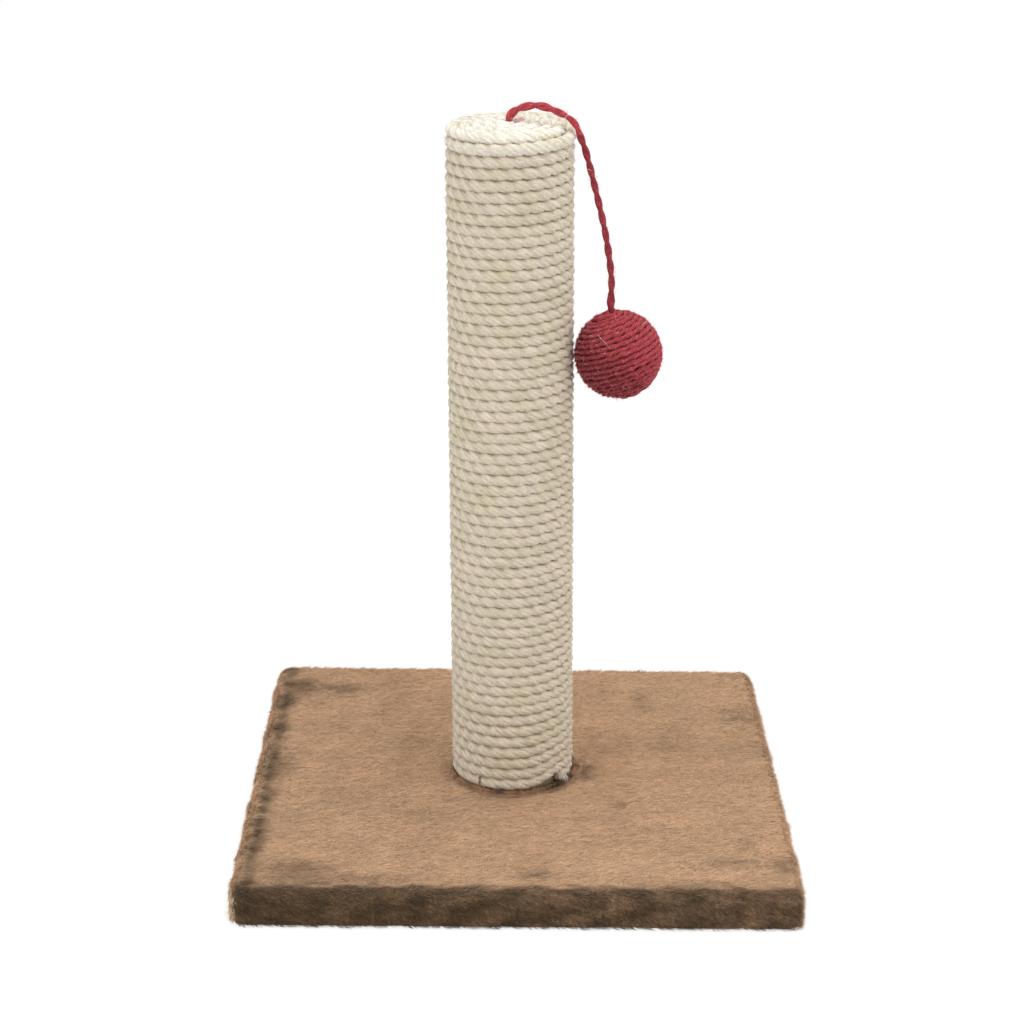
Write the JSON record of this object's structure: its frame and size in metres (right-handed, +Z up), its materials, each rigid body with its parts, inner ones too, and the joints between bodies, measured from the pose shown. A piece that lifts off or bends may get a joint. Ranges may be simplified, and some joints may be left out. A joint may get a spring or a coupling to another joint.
{
  "type": "cat scratching post",
  "caption": "Upright rope-wound scratching post on a square plush-covered base, with a ball on a cord that hangs over its rim.",
  "frame": {"origin": "middle of the base's underside, on the floor", "axes": "+Z up along the post; +X to the picture's right, the side on which the ball hangs; -Y towards the viewer"},
  "size_m": [0.319, 0.319, 0.4329],
  "materials": {
    "fibreboard": "raw fibreboard",
    "plush": "short-pile plush",
    "zinc": "zinc plated",
    "softwood": "raw softwood",
    "cardboard": "matt kraft card",
    "sisal": "natural sisal fibre",
    "red_cord": "dyed twisted cord",
    "pressed_paper": "pressed paper pulp"
  },
  "bodies": {
    "root": {"base_board": "fibreboard", "plush_cover": "plush", "hem_staple_01": "zinc", "hem_staple_02": "zinc", "hem_staple_03": "zinc", "hem_staple_04": "zinc", "hem_staple_05": "zinc", "hem_staple_06": "zinc", "hem_staple_07": "zinc", "hem_staple_08": "zinc", "hem_staple_09": "zinc", "hem_staple_10": "zinc", "hem_staple_11": "zinc", "hem_staple_12": "zinc", "hem_staple_13": "zinc", "hem_staple_14": "zinc", "hem_staple_15": "zinc", "hem_staple_16": "zinc", "hem_staple_17": "zinc", "hem_staple_18": "zinc", "hem_staple_19": "zinc", "hem_staple_20": "zinc", "base_bolt": "zinc", "base_washer": "zinc", "tee_nut": "zinc", "foot_plug": "softwood", "top_plug": "softwood", "post_tube": "cardboard", "post_rope": "sisal", "top_rope_spiral": "sisal", "foot_rope_staple": "zinc"},
    "cord_arm": {"toy_cord_knot": "red_cord", "toy_cord_top": "red_cord"},
    "cord_bend": {"toy_cord_bend": "red_cord"},
    "cord_drop": {"toy_cord_drop": "red_cord"},
    "ball": {"ball_core": "pressed_paper", "ball_winding": "red_cord"}
  },
  "joints": [
    {"name": "cord_swivel", "type": "hinge", "parent": "root", "child": "cord_arm", "pos_m": [0, 0, 0.41], "axis": [0, 0, 1], "continuous": true},
    {"name": "ball_swing_side", "type": "hinge", "parent": "cord_arm", "child": "cord_bend", "pos_m": [0.03921, -0.00551, 0.4152], "axis": [0.9903, -0.1392, 0], "range_deg": [-70, 70]},
    {"name": "ball_swing_out", "type": "hinge", "parent": "cord_bend", "child": "cord_drop", "pos_m": [0.03921, -0.00551, 0.4152], "axis": [-0.1392, -0.9903, 0], "range_deg": [0, 90]},
    {"name": "ball_spin", "type": "hinge", "parent": "cord_drop", "child": "ball", "pos_m": [0.06179, -0.00868, 0.289], "axis": [-0.1549, 0.0218, 0.9877], "range_deg": [-180, 180]}
  ]
}
